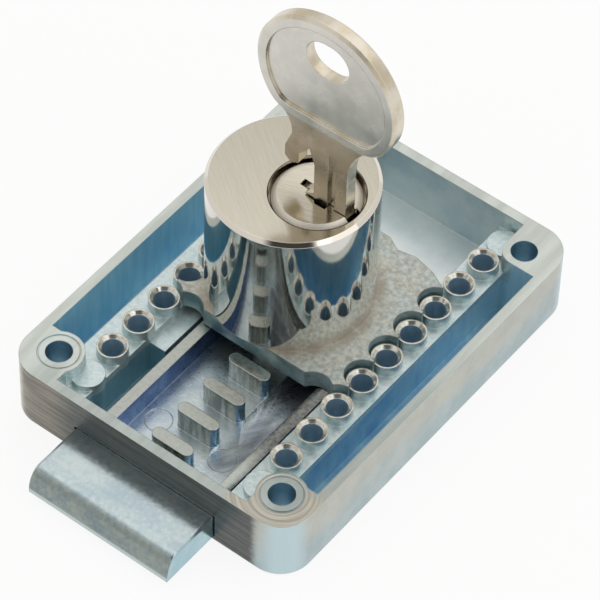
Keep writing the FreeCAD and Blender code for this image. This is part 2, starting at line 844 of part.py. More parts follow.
def makeCam():
    """The drive cam: a disc with a hub on the plug's tail and one pin that works between the lugs."""
    body = newBody("drive_cam")
    tailFoot = plugFoot - s.tailLength
    sketch = sketchOn(body, "XY_Plane", "cam_disc", camFoot)
    circle(sketch, s.plugX, s.plugY, s.camRadius)
    pad(body, sketch, s.camThickness)
    sketch = sketchOn(body, "XY_Plane", "cam_hub", camTop)
    circle(sketch, s.plugX, s.plugY, s.hubRadius)
    pad(body, sketch, plugFoot - camTop)
    sketch = sketchOn(body, "XY_Plane", "cam_pin", camFoot)
    circle(sketch, s.plugX, pinY, s.pinRadius)
    pad(body, sketch, camFoot - panFloor - s.pinFloorGap, reverse=True)

    # socket for the tail, with its two flats
    sketch = sketchOn(body, "XY_Plane", "cam_socket", plugFoot)
    flat = s.tailFlat + s.fitGap
    radius = s.tailRadius + s.fitGap
    rise = math.sqrt(radius.number ** 2 - flat.number ** 2)
    angle = math.atan2(rise, flat.number)
    centre = Vector(s.plugX.number, s.plugY.number, 0)
    ring = Part.Circle(centre, Vector(0, 0, 1), radius.number)
    for start in (angle, math.pi + angle):
        sketch.addGeometry(Part.ArcOfCircle(ring, start, start + math.pi - 2 * angle), False)
    right = s.plugX.number + flat.number
    left = s.plugX.number - flat.number
    low = s.plugY.number - rise
    high = s.plugY.number + rise
    sketch.addGeometry(Part.LineSegment(Vector(left, high, 0), Vector(left, low, 0)), False)
    sketch.addGeometry(Part.LineSegment(Vector(right, low, 0), Vector(right, high, 0)), False)
    for one, oneEnd, two, twoEnd in ((0, 2, 2, 1), (2, 2, 1, 1), (1, 2, 3, 1), (3, 2, 0, 1)):
        sketch.addConstraint(Sketcher.Constraint("Coincident", one, oneEnd, two, twoEnd))
    for arc in (0, 1):
        holdPoint(sketch, arc, 3, s.plugX, s.plugY)
        row = sketch.addConstraint(Sketcher.Constraint("Radius", arc, radius.number))
        sketch.setExpression(f"Constraints[{row}]", radius.text)
    for line, x in ((2, s.plugX - flat), (3, s.plugX + flat)):
        sketch.addConstraint(Sketcher.Constraint("Vertical", line))
        row = sketch.addConstraint(Sketcher.Constraint("DistanceX", -1, 1, line, 1, x.number))
        sketch.setExpression(f"Constraints[{row}]", x.text)
    cut(body, sketch, s.tailLength + s.fitGap)

    sketch = sketchOn(body, "XY_Plane", "cam_screw_hole", plugFoot)
    circle(sketch, s.plugX, s.plugY, s.screwRadius + s.fitGap)
    hole = cut(body, sketch, plugFoot)
    dress(
        body, "Chamfer", hole,
        lambda edge: isRound(edge, s.screwRadius + s.fitGap, camFoot), s.screwHeadDepth,
    )
    return body


def segment(sketch, x, y, radius, drop):
    """A circle with its lower part cut off by a level line, drop below the centre."""
    half = math.sqrt(radius.number ** 2 - drop.number ** 2)
    start = math.atan2(-drop.number, half)
    centre = Vector(x.number, y.number, 0)
    ring = Part.Circle(centre, Vector(0, 0, 1), radius.number)
    arc = sketch.addGeometry(Part.ArcOfCircle(ring, start, math.pi - start), False)
    left = centre + Vector(-half, -drop.number, 0)
    right = centre + Vector(half, -drop.number, 0)
    line = sketch.addGeometry(Part.LineSegment(left, right), False)
    sketch.addConstraint(Sketcher.Constraint("Coincident", arc, 2, line, 1))
    sketch.addConstraint(Sketcher.Constraint("Coincident", line, 2, arc, 1))
    sketch.addConstraint(Sketcher.Constraint("Horizontal", line))
    holdPoint(sketch, arc, 3, x, y)
    row = sketch.addConstraint(Sketcher.Constraint("Radius", arc, radius.number))
    sketch.setExpression(f"Constraints[{row}]", radius.text)
    foot = y - drop
    row = sketch.addConstraint(Sketcher.Constraint("DistanceY", -1, 1, line, 1, foot.number))
    sketch.setExpression(f"Constraints[{row}]", foot.text)


def isAcross(edge):
    """A straight edge along Y."""
    if len(edge.Vertexes) != 2 or not isinstance(edge.Curve, Part.Line):
        return False
    one, two = (vertex.Point for vertex in edge.Vertexes)
    return math.hypot(one.x - two.x, one.z - two.z) < near


def makeKey():
    """The flat key in the keyway: bow, shank with its stop, and a blade with five cuts."""
    body = newBody("key")
    sketch = sketchOn(body, "XZ_Plane", "key_bow", -s.plugY)
    segment(sketch, s.bowX, bowZ, s.bowRadius, s.bowFlat)
    bow = pad(body, sketch, s.bowThickness, symmetric=True)
    corners = dress(body, "Fillet", bow, isAcross, s.bowCorner)
    nearFace = s.plugY - s.bowThickness / 2
    farFace = s.plugY + s.bowThickness / 2

    def isBowRim(edge):
        place_ = edge.BoundBox
        flat = place_.YMax - place_.YMin < near
        return flat and min(abs(place_.YMin - nearFace.number), abs(place_.YMin - farFace.number)) < near

    dress(body, "Chamfer", corners, isBowRim, s.bowEdge)

    def isPanelCorner(edge):
        return isAcross(edge) and edge.Length < s.panelDepth.number + near

    # sunk panels in both faces of the bow
    for across, word in ((-1, "front"), (1, "back")):
        sketch = sketchOn(body, "XZ_Plane", "key_panel_" + word, -s.plugY - s.bowThickness / 2 * across)
        segment(sketch, s.bowX, bowZ, s.bowRadius - s.bowRim, s.bowFlat - s.bowRim)
        panel = cut(body, sketch, s.panelDepth, reverse=across > 0)
        dress(body, "Fillet", panel, isPanelCorner, s.panelCorner)

    sketch = sketchOn(body, "XZ_Plane", "key_bow_hole", -s.plugY)
    roundSlot(
        sketch, s.bowHoleX - s.bowHoleLength / 2, s.bowHoleX + s.bowHoleLength / 2,
        bowZ + s.bowHoleRise, s.bowHoleWidth,
    )
    cut(body, sketch, s.bowThickness * 2, symmetric=True)

    # the shank and the blade, from the flare under the bow round to the cuts
    end = cylinderTop
    axis = s.plugX
    cuts = []
    for index in range(int(s.pinCount.number)):
        height = pinFirst - s.pinPitch * index
        x = axis - s.firstCut + s.cutStep * index
        cuts += [(x, height + s.cutFlat), (x, height - s.cutFlat)]
    lowest = cuts.pop()
    flareTop = end + s.flareRise
    sketch = sketchOn(body, "XZ_Plane", "key_blade", -s.plugY)
    outline(sketch, [
        (spineX, keyTip + s.keyTipChamfer),
        (spineX, end + s.neckTop),
        (axis + s.shankRight, end + s.shankRise, -s.flareRadius * 2),
        (axis + s.shankFlareRight, flareTop),
        (axis - s.shankFlareLeft, flareTop, -s.flareRadius),
        (axis - s.shankLeft, end + s.shankMiddle),
        (axis - s.stopOuter, end + s.stopTop),
        (axis - s.stopOuter, end + s.stopFoot + s.neckFoot),
        (axis - s.stopInner, end + s.stopFoot),
        (axis - s.hookRight, end + s.hookFoot),
        (axis - s.hookRight, end + s.hookTop),
        (axis - s.notchLeft, end + s.notchTop),
        (axis + s.neckLeft, end + s.neckTop),
        (axis + s.neckLeft, end + s.neckFoot),
        (edgeX, end - s.neckFoot),
        (edgeX, pinFirst + s.cutFlat * 2),
        *cuts,
        (lowest[0], keyTip + s.keyTipRun),
        (lowest[0] + s.keyTipRun, keyTip),
        (spineX - s.keyTipChamfer, keyTip),
    ])
    pad(body, sketch, s.keyThickness, symmetric=True)

    # the pin side of the blade is thinner, with a sloping step
    nearSide = s.plugY - s.keyThickness / 2
    outside = nearSide - s.overcut
    sketch = sketchOn(body, "XY_Plane", "key_step", end)
    outline(sketch, [
        (edgeX - s.overcut, outside),
        (axis - s.stepFoot + s.stepRise + s.overcut, outside),
        (axis - s.stepFoot, nearSide + s.stepRise),
        (edgeX - s.overcut, nearSide + s.stepRise),
    ])
    cut(body, sketch, s.keyReach + s.overcut)

    # a groove along both faces of the blade
    for across, word in ((-1, "front"), (1, "back")):
        sketch = sketchOn(body, "XZ_Plane", "key_ward_" + word, -s.plugY - s.keyThickness / 2 * across)
        box(sketch, axis + s.wardLeft, axis + s.wardRight, keyTip - s.overcut, wardTop)
        cut(body, sketch, s.wardDepth, reverse=across > 0)
    return body


def place(item, x, y, z, axis=None, angle=0):
    """Puts a primitive at a point and ties that point to the sheet."""
    turn = Rotation(axis, angle) if axis else Rotation()
    x, y, z = asSize(x), asSize(y), asSize(z)
    item.Placement = Placement(Vector(x.number, y.number, z.number), turn)
    for letter, size in (("x", x), ("y", y), ("z", z)):
        item.setExpression("Placement.Base." + letter, size.text)


def rod(name, radius, length, x, y, z, axis=None, angle=0):
    item = doc.addObject("Part::Cylinder", name)
    item.setExpression("Radius", radius.text)
    item.setExpression("Height", length.text)
    place(item, x, y, z, axis, angle)
    return item


def cone(name, radius, endRadius, length, x, y, z, axis=None, angle=0):
    item = doc.addObject("Part::Cone", name)
    item.setExpression("Radius1", radius.text)
    item.setExpression("Radius2", endRadius.text)
    item.setExpression("Height", length.text)
    place(item, x, y, z, axis, angle)
    return item


def join(label, items, keep=True):
    item = doc.addObject("Part::MultiFuse", label)
    item.Label = label
    item.Shapes = items
    if keep:
        pieces.append(item)
    return item


def subtract(label, base, tool, keep=True):
    item = doc.addObject("Part::Cut", label)
    item.Label = label
    item.Base = base
    item.Tool = tool
    if keep:
        pieces.append(item)
    return item


def slottedScrew(name, x, y, foot, top):
    """A countersunk screw, head down, with a straight driver slot across its head."""
    head = cone(name + "_head", s.screwHead, s.screwRadius, s.screwHeadDepth, x, y, foot)
    shank = rod(name + "_shank", s.screwRadius, top - foot, x, y, foot)
    whole = join(name + "_blank", [head, shank], keep=False)
    slot = doc.addObject("Part::Box", name + "_slot")
    width = s.slotWidth
    slot.setExpression("Length", (s.screwHead * 2 + s.overcut).text)
    slot.setExpression("Width", width.text)
    slot.setExpression("Height", s.slotDepth.text)
    place(slot, asSize(x) - s.screwHead - s.overcut / 2, asSize(y) - width / 2, foot)
    return whole, slot


def makeScrews():
    whole, slot = slottedScrew("cam_screw_part", s.plugX, s.plugY, camFoot, camScrewTop)
    subtract("cam_screw", whole, slot)
    pair = []
    for number, across in enumerate((-1, 1), start=1):
        screwY = s.plugY + s.carrierScrewSpacing / 2 * across
        name = f"carrier_screw_part_{number}"
        whole, slot = slottedScrew(name, carrierScrewX, screwY, plateFoot, carrierScrewTop)
        pair.append(subtract(name, whole, slot, keep=False))
    group = doc.addObject("Part::Compound", "carrier_screws")
    group.Label = "carrier_screws"
    group.Links = pair
    pieces.append(group)


def makeTumblers():
    """Key pins in the plug, driver pins and springs in the housing, all at the same heights."""
    west = Vector(0, 1, 0)
    pinOuter = s.plugX - s.plugRadius + s.shearInset
    driverInner = s.plugX - s.plugRadius - s.shearGap
    driverOuter = driverInner - s.driverLength
    for index in range(int(s.pinCount.number)):
        number = index + 1
        z = pinFirst - s.pinPitch * index
        tip = s.plugX - s.firstCut + s.cutStep * index - s.fitGap
        shoulder = tip - s.tumblerTaper
        barrel = rod(
            f"key_pin_barrel_{number}", s.tumblerRadius, shoulder - pinOuter,
            pinOuter, s.plugY, z, west, 90,
        )
        point = cone(
            f"key_pin_point_{number}", s.tumblerRadius, s.tumblerTip, s.tumblerTaper,
            shoulder, s.plugY, z, west, 90,
        )
        join(f"key_pin_{number}", [barrel, point])
        driver = rod(
            f"driver_pin_{number}", s.tumblerRadius, s.driverLength,
            driverOuter, s.plugY, z, west, 90,
        )
        driver.Label = f"driver_pin_{number}"
        pieces.append(driver)
        makeSpring(number, driverOuter, z)


def makeSpring(number, end, z):
    """A wound wire from the cover's inner face to the outer end of a driver pin, in short straight runs."""
    start = coverInner + s.springWire / 2
    height = end - s.springWire / 2 - start
    coil = s.tumblerRadius - s.springWire / 2 - s.fitGap
    turns = int(s.springTurns.number)
    runs = int(s.springRuns.number)
    points = []
    for step in range(turns * runs + 1):
        angle = 2 * math.pi * step / runs
        points.append(Vector(
            start.number + height.number * step / (turns * runs),
            s.plugY.number + coil.number * math.sin(angle),
            z.number - coil.number * math.cos(angle),
        ))
    line = doc.addObject("Part::Feature", f"spring_line_{number}")
    line.Shape = Part.makePolygon(points)
    wire = doc.addObject("Part::RegularPolygon", f"spring_wire_{number}")
    wire.setExpression("Circumradius", (s.springWire / 2).text)
    place(wire, start, s.plugY, z - coil, Vector(1, 0, 0), 90)
    spring = doc.addObject("Part::Sweep", f"pin_spring_{number}")
    spring.Label = f"pin_spring_{number}"
    spring.Sections = [wire]
    spring.Spine = line
    spring.Solid = True
    spring.Transition = "Right corner"
    pieces.append(spring)


def makeCover():
    """The strip that closes the pin chambers, its outer face rounded like the housing."""
    blank = doc.addObject("Part::Box", "cover_blank")
    height = coverTop - coverFoot
    blank.setExpression("Length", (s.coverThickness + s.overcut).text)
    blank.setExpression("Width", s.coverWidth.text)
    blank.setExpression("Height", height.text)
    place(blank, coverInner - s.coverThickness - s.overcut, s.plugY - s.coverWidth / 2, coverFoot)
    round_ = rod("cover_round", s.cylinderRadius, height, s.cylinderX, s.plugY, coverFoot)
    item = doc.addObject("Part::Common", "chamber_cover")
    item.Label = "chamber_cover"
    item.Base = blank
    item.Tool = round_
    pieces.append(item)


makeCase()
makeBolt()
makeCarrierPlate()
makeHousing()
makePlug()
makeCam()
makeKey()
makeScrews()
makeTumblers()
makeCover()
doc.recompute()

# Nothing is written unless every object is sound
for item in doc.Objects:
    if "Invalid" in item.State or "Error" in item.State:
        raise ValueError(f"{item.Name} failed: {item.State}")
for piece in pieces:
    if piece.Shape.isNull() or not piece.Shape.isValid() or not piece.Shape.Solids:
        raise ValueError(f"{piece.Label} has no sound shape")

os.makedirs("parts", exist_ok=True)
for piece in pieces:
    piece.Shape.exportStep(f"parts/{piece.Label}.step")
    print(f"{piece.Label}: {len(piece.Shape.Solids)} solids, {piece.Shape.Volume:.1f} mm3")
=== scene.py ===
import bmesh
import bpy
import math
import numpy as np
from mathutils import Matrix, Vector


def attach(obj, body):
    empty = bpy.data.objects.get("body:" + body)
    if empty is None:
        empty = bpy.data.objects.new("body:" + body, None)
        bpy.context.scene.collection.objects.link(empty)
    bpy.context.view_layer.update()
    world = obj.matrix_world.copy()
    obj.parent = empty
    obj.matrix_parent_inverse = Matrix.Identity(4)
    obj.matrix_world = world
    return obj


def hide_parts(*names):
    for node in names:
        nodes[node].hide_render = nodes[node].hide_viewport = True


# Furniture rim lock lying on its back: zinc castings, a nickel cylinder and its key.
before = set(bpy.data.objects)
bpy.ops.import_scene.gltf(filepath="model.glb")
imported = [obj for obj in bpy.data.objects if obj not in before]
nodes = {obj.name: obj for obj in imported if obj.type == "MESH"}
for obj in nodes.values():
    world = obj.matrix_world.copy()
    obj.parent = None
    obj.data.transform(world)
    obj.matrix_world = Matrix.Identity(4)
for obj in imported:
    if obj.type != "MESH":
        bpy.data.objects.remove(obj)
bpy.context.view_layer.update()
perMetre = 1000  # millimetres in a metre
print("frame loaded:", len(nodes), "nodes")


def linear(hexColour):
    # sRGB hex to linear, the usual piecewise curve
    channels = [int(hexColour[i:i + 2], 16) / 255 for i in (1, 3, 5)]
    return [c / 12.92 if c <= 0.04045 else ((c + 0.055) / 1.055) ** 2.4 for c in channels] + [1.0]


def addNode(tree, kind, sockets=None, out=0, **settings):
    # adds a node, sets its properties, sets or links each named or numbered input, and gives one output
    node = tree.nodes.new("ShaderNode" + kind)
    for name, value in settings.items():
        setattr(node, name, value)
    for name, value in (sockets or {}).items():
        if isinstance(value, bpy.types.NodeSocket):
            tree.links.new(value, node.inputs[name])
        else:
            node.inputs[name].default_value = value
    return node if out is None else node.outputs[out]


def startMaterial(name):
    material = bpy.data.materials.new(name)
    material.use_nodes = True
    tree = material.node_tree
    tree.nodes.clear()
    return material, tree


def millimetres(tree, stretch=(1, 1, 1), turn=(0, 0, 0)):
    # the place on the piece in millimetres, turned first, then stretched
    where = addNode(tree, "TexCoord", out="Object")
    turned = addNode(tree, "Mapping", {"Vector": where, "Rotation": turn, "Scale": (perMetre,) * 3})
    return addNode(tree, "Mapping", {"Vector": turned, "Scale": stretch})


def measures(tree):
    # the place in millimetres as x, y and z, and how far the face looks right, to the front and up,
    # from -1 to 1
    place = addNode(tree, "SeparateXYZ", {0: millimetres(tree)}, None).outputs
    facing = addNode(tree, "SeparateXYZ", {0: addNode(tree, "NewGeometry", out="True Normal")}, None).outputs
    front = addNode(tree, "Math", {0: facing[1], 1: -1.0}, operation="MULTIPLY")
    return {"x": place[0], "y": place[1], "z": place[2], "right": facing[0], "front": front, "up": facing[2]}


def speckle(tree, look):
    # cloudy noise: look gives its scale per millimetre and its detail, and how it is stretched and turned
    vector = millimetres(tree, look.get("stretch", (1, 1, 1)), look.get("turn", (0, 0, 0)))
    return addNode(tree, "TexNoise", {"Vector": vector, "Scale": look.get("scale", 1.0),
                                      "Detail": look["detail"], "Roughness": look.get("rough", 0.55)})


def weigh(tree, *parts):
    # each value times its share, added together
    total = 0.0
    for value, share in parts:
        total = addNode(tree, "Math", {0: value, 1: share, 2: total}, operation="MULTIPLY_ADD")
    return total


def fade(tree, value, mask, share):
    # takes a share of the value away where the mask is on
    left = addNode(tree, "Math", {0: mask, 1: -share, 2: 1.0}, operation="MULTIPLY_ADD")
    return addNode(tree, "Math", {0: value, 1: left}, operation="MULTIPLY")


def fromAxis(tree, x, y, axis):
    # how far a point lies from an upright axis: the root of the two squared differences
    sideX = addNode(tree, "Math", {0: x, 1: axis[0]}, operation="SUBTRACT")
    sideY = addNode(tree, "Math", {0: y, 1: axis[1]}, operation="SUBTRACT")
    squares = weigh(tree, (sideX, sideX), (sideY, sideY))
    return addNode(tree, "Math", {0: squares}, operation="SQRT")


def zone(tree, at, limits):
    # a mask that is 1 where all its limits hold. A limit is a measure's name, its edge and the half width of
    # the soft stretch; it holds above the edge, or below it where a fourth word says so
    mask = None
    for name, edge, soft, *side in limits:
        low, high = (1.0, 0.0) if side else (0.0, 1.0)
        part = addNode(tree, "MapRange", {0: at[name], 1: edge - soft, 2: edge + soft, 3: low, 4: high},
                       interpolation_type="SMOOTHSTEP")
        mask = part if mask is None else addNode(tree, "Math", {0: mask, 1: part}, operation="MULTIPLY")
    return mask


def mottle(tree, pattern, pair, low=0.35, high=0.65):
    # a pattern turned into a drift between two hex colours
    share = addNode(tree, "MapRange", {0: pattern, 1: low, 2: high}, interpolation_type="SMOOTHSTEP")
    return addNode(tree, "Mix", {0: share, 6: linear(pair[0]), 7: linear(pair[1])}, 2, data_type="RGBA")


def cover(tree, under, over, *masks):
    # lays one colour over another where every mask is on
    share = masks[0]
    for mask in masks[1:]:
        share = addNode(tree, "Math", {0: share, 1: mask}, operation="MULTIPLY")
    return addNode(tree, "Mix", {0: share, 6: under, 7: over}, 2, data_type="RGBA")


sharpEdge = {
    "samples": 6,
    # how closely the rounded and the plain normal agree where the painted edge light begins and where it is
    # complete
    "toneAndPaintedLight": (0.99, 0.8),
}


def finishMaterial(material, tree, c, colour, roughness, height):
    # principled metal: c says how metallic it is, its relief and the radius that its sharp corners show,
    # both in millimetres, and the colour painted along those corners as painted edge light, with its share: a
    # painted highlight where that colour is pale, painted shade where it is dark
    bump = {"Height": height, "Distance": c["relief"] / perMetre, "Strength": 1.0}
    if "edge" in c:
        radius = c["edge"] / perMetre
        bump["Normal"] = addNode(tree, "Bevel", {"Radius": radius}, samples=sharpEdge["samples"])
    # painted edge light: a pale colour here is a painted highlight, a dark one painted shade, laid where the
    # rounded and plain normals part
    if "paintedEdgeLight" in c:
        edgeLightHex, share = c["paintedEdgeLight"]
        begins, complete = sharpEdge["toneAndPaintedLight"]
        plain = addNode(tree, "NewGeometry", out="Normal")
        agree = addNode(tree, "VectorMath", {0: bump["Normal"], 1: plain}, "Value", operation="DOT_PRODUCT")
        toneAndPaintedLight = addNode(tree, "MapRange", {0: agree, 1: begins, 2: complete, 3: 0.0, 4: share},
                         interpolation_type="SMOOTHSTEP")
        colour = cover(tree, colour, linear(edgeLightHex), toneAndPaintedLight)
    shader = addNode(tree, "BsdfPrincipled", {
        "Base Color": colour, "Metallic": c["metallic"], "Roughness": roughness,
        "Normal": addNode(tree, "Bump", bump)})
    addNode(tree, "OutputMaterial", {0: shader}, None)
    return material


def wear(names, material):
    for name in names:
        mesh = nodes[name].data
        mesh.materials.clear()
        mesh.materials.append(material)


# the camera stands at the photograph's place, about half a metre away, with a long lens
camera = {
    "place": (0.19138, -0.25535, 0.39069),
    "right": (0.78671, 0.61701, 0.02020),
    "up": (-0.48318, 0.59504, 0.64225),
    "back": (0.38425, -0.51501, 0.76624),
    "lens": 236.13,
    "sensor": 36.0,
    "clip": (0.01, 20),
}


def makeCamera(c):
    data = bpy.data.cameras.new("photoCamera")
    data.lens = c["lens"]
    data.sensor_width = c["sensor"]
    data.clip_start, data.clip_end = c["clip"]
    item = bpy.data.objects.new("photoCamera", data)
    bpy.context.collection.objects.link(item)
    turn = Matrix((c["right"], c["up"], c["back"])).transposed().to_4x4()
    item.matrix_world = Matrix.Translation(Vector(c["place"])) @ turn
    bpy.context.scene.camera = item


makeCamera(camera)
print("camera placed")


castZinc = {
    # sizes of the casting in millimetres
    "cornerAxis": (18.0, 25.5),
    "row": 13.87,
    "rowFirst": -19.2,
    "pitch": 5.083,
    "fixing": (17.7, 25.0),
    # patterns, with scales per millimetre
    "cloud": {"scale": 0.22, "detail": 4},
    "fleck": {"scale": 1.4, "detail": 4, "rough": 0.65},
    "grain": {"scale": 5.0, "detail": 2},
    "upright": {"stretch": (0.9, 0.9, 0.12), "detail": 4, "rough": 0.6},
    "lengthways": {"stretch": (0.5, 0.06, 0.9), "detail": 3, "rough": 0.6},
    "crossways": {"stretch": (0.06, 0.5, 1.3), "detail": 4, "rough": 0.6},
    "driftShares": (0.75, 0.25),
    # hollows: the limits that each finish keeps to, and its colours, the darker first
    "flat": [("up", 0.85, 0.08)],
    "steep": [("up", 0.85, 0.08, "below")],
    "rightHalf": [("x", 0.0, 1.0)],
    "leftWallHex": ("#b4e2f0", "#c9edf6"),
    "rightWallHex": ("#8ab6d6", "#b4d4dc"),
    # painted light: walls toward the rear are painted lighter to offset their shade
    "rearSide": [("y", 9.0, 9.0)],
    "rearSidePaintedLightHex": ("#c8e5ef", "#d9eff5"),
    "troughFloorHex": ("#82b0d2", "#a4cbe0"),
    "pocket": [("y", -13.0, 0.5, "below"), ("across", 16.3, 0.2, "below")],
    "pocketHex": ("#93bccd", "#a3c8d6"),
    "rear": [("across", 16.3, 0.2, "below"), ("y", 13.0, 0.5)],
    "rearWallHex": ("#a9c0c9", "#bccdd1"),
    "rearFloorHex": ("#e4ebec", "#eff4f4"),
    # rails and bosses
    "rail": [("z", 5.95, 0.03), ("across", 17.6, 0.1, "below"), ("along", 28.5, 0.05, "below")],
    "railHex": ("#b9ccd0", "#dde7e7"),
    "railContrast": (0.25, 0.75),
    "bossWall": [("z", 7.04, 0.03), ("z", 9.7, 0.1, "below"), ("boss", 2.7, 0.2, "below")],
    "bossWallHex": ("#abc4cb", "#dbe3e0"),
    "bossWallContrast": (0.3, 0.7),
    "bossFace": [
        ("z", 8.13, 0.03), ("z", 8.83, 0.05, "below"), ("up", 0.4, 0.1), ("boss", 2.3, 0.1, "below")],
    "bossFaceHex": ("#bdb9ae", "#dbd8ce"),
    "bossHole": [("boss", 1.46, 0.03, "below"), ("y", -21.0, 0.05), ("y", 23.5, 0.05, "below")],
    "bossHoleHex": ("#c0dae9", "#d0e4f0"),
    # outer walls
    "outside": [("reach", 3.9, 0.2)],
    "warmth": (0.1, 1.2),
    "warm": [("warmth", 1.1, 0.3)],
    "outerCoolHex": ("#a4b5b9", "#b2c0c2"),
    "outerWarmHex": ("#b4b7af", "#bdbeb5"),
    "outerCorner": [("across", 19.0, 1.4), ("along", 26.5, 1.4)],
    "outerCornerHex": "#bed2d7",
    "raggedness": 1.5,
    # the darker front wall: partly its own bare brown metal, partly a painted dark reflection
    "front": [("front", 0.6, 0.2), ("ragged", 18.1, 0.8, "below")],
    "frontMiddle": [("x", -13.0, 3.0)],
    "frontLeftHex": ("#6f6b62", "#969187"),
    "frontHex": ("#454a4a", "#70716d"),
    "frontContrast": (0.25, 0.8),
    "pastFrontCorner": [("x", -20.4, 1.2)],
    "frontCornerHex": "#e4dfcb",
    # rim and fixing holes
    "rim": [("z", 9.75, 0.05), ("up", 0.5, 0.2)],
    "rimHex": ("#bfc5c0", "#cfd5d0"),
    "rimRight": [("x", 12.0, 6.0), ("y", 6.0, 10.0, "below")],
    "rimFront": [("x", -17.0, 4.0), ("y", -27.0, 1.5, "below")],
    "rimShadedHex": ("#a8b0ad", "#b5bdba"),
    "fixingHole": [("hole", 1.8, 0.03, "below")],
    "fixingHoleHex": ("#769db0", "#90b3c2"),
    # cutter marks: rings per millimetre from the hole, and how far they wander along the case
    "rings": (2.6, 0.12),
    "ringDetail": 2,
    "ringed": [("hole", 2.9, 0.1), ("hole", 6.8, 0.8, "below"), ("x", 0.0, 1.0), ("y", -22.5, 1.5, "below")],
    "ringHex": ("#aaa79c", "#c3c1b7"),
    "ringHeight": 3.0,
    # surface
    "metallic": 0.8,
    "heightShares": (0.35, 0.5),
    "rimSmoothed": 0.75,
    "dullness": {1: 0.3, 2: 0.7, 3: 0.3, 4: 0.44},
    "facePolished": 0.8,
    "relief": 0.03,
    "edge": 0.18,
    # painted highlight: the pale colour laid along the sharp edges stands in for the light they catch
    "paintedEdgeLight": ("#dcdfd8", 0.45),
}


